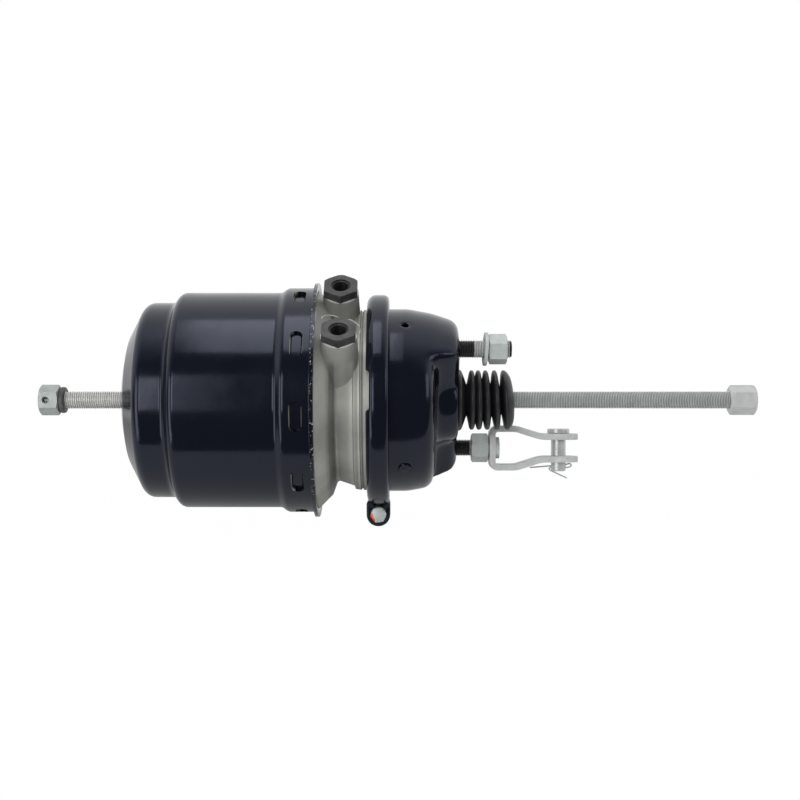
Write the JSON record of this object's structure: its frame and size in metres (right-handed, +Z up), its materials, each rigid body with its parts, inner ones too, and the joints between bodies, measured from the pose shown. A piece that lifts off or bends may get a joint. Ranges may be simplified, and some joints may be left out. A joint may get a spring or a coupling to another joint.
{
  "type": "spring brake actuator",
  "caption": "Combined spring brake and diaphragm service chamber with threaded push rod, bellows, release bolt and parked clevis.",
  "frame": {"origin": "centre of the mounting face, between the two mounting studs, on the push rod's axis", "axes": "+X along the push rod, away from the chamber; +Z up, away from the clamp ring's ears; the two air ports lean towards -Y and +Z"},
  "size_m": [0.6604, 0.2152, 0.2287],
  "materials": {
    "black_paint": "glossy black paint",
    "cast_aluminium": "satin casting",
    "dark_steel": "dark plain steel",
    "seal_rubber": "matte rubber",
    "bearing_plastic": "plain plastic",
    "adaptor_steel": "dark zinc",
    "zinc": "pale zinc",
    "bright_zinc": "bright zinc",
    "rod_zinc": "grey zinc thread",
    "stud_steel": "partly painted thread",
    "black_plastic": "satin plastic",
    "boot_rubber": "satin rubber",
    "spring_steel": "spring wire"
  },
  "bodies": {
    "chamber": {"spring_housing": "black_paint", "collar_ring": "dark_steel", "flange_body": "cast_aluminium", "flange_seal": "seal_rubber", "tube_bush": "bearing_plastic", "port_adaptor_lower": "adaptor_steel", "port_adaptor_upper": "adaptor_steel", "clamp_ring": "black_paint", "clamp_bolt": "zinc", "clamp_nut": "zinc", "service_housing": "black_paint", "drain_plug": "black_plastic", "mounting_studs": "stud_steel", "stud_nuts": "zinc", "stud_washer": "zinc", "diaphragm": "seal_rubber", "bellows": "boot_rubber", "spring_piston": "cast_aluminium", "piston_seal": "seal_rubber", "piston_band": "bearing_plastic", "piston_tube": "dark_steel", "parking_spring": "spring_steel", "return_spring": "spring_steel", "bolt_guide": "dark_steel", "clevis_fork": "zinc", "clevis_collar": "dark_steel"},
    "pushrod": {"push_plate": "dark_steel", "pushrod": "rod_zinc", "pushrod_nut": "zinc"},
    "release_carrier": {"release_washer": "seal_rubber", "thrust_washer": "dark_steel"},
    "release_spindle": {"release_bolt": "bright_zinc", "release_nut": "bright_zinc", "release_pin": "spring_steel"},
    "clevis_pin": {"clevis_pin": "zinc", "split_pin": "zinc"}
  },
  "joints": [
    {"name": "service_stroke", "type": "slide", "parent": "chamber", "child": "pushrod", "axis": [1, 0, 0], "range_m": [0, 0.057], "stiffness_N_per_m": 1500, "springref_m": -0.05, "deforming": ["bellows", "diaphragm", "return_spring"]},
    {"name": "release_travel", "type": "slide", "parent": "chamber", "child": "release_carrier", "axis": [1, 0, 0], "range_m": [0, 0.052]},
    {"name": "release_turn", "type": "hinge", "parent": "release_carrier", "child": "release_spindle", "pos_m": [-0.3, 0, 0], "axis": [1, 0, 0], "range_deg": [0, 9360]},
    {"name": "clevis_pin_turn", "type": "hinge", "parent": "chamber", "child": "clevis_pin", "pos_m": [0.0977, 0.03958, -0.04553], "axis": [0, 0, 1], "continuous": true}
  ],
  "couplings": [
    {"joint": "release_turn", "follows": "release_travel", "rad_per_m": 3141.6}
  ]
}
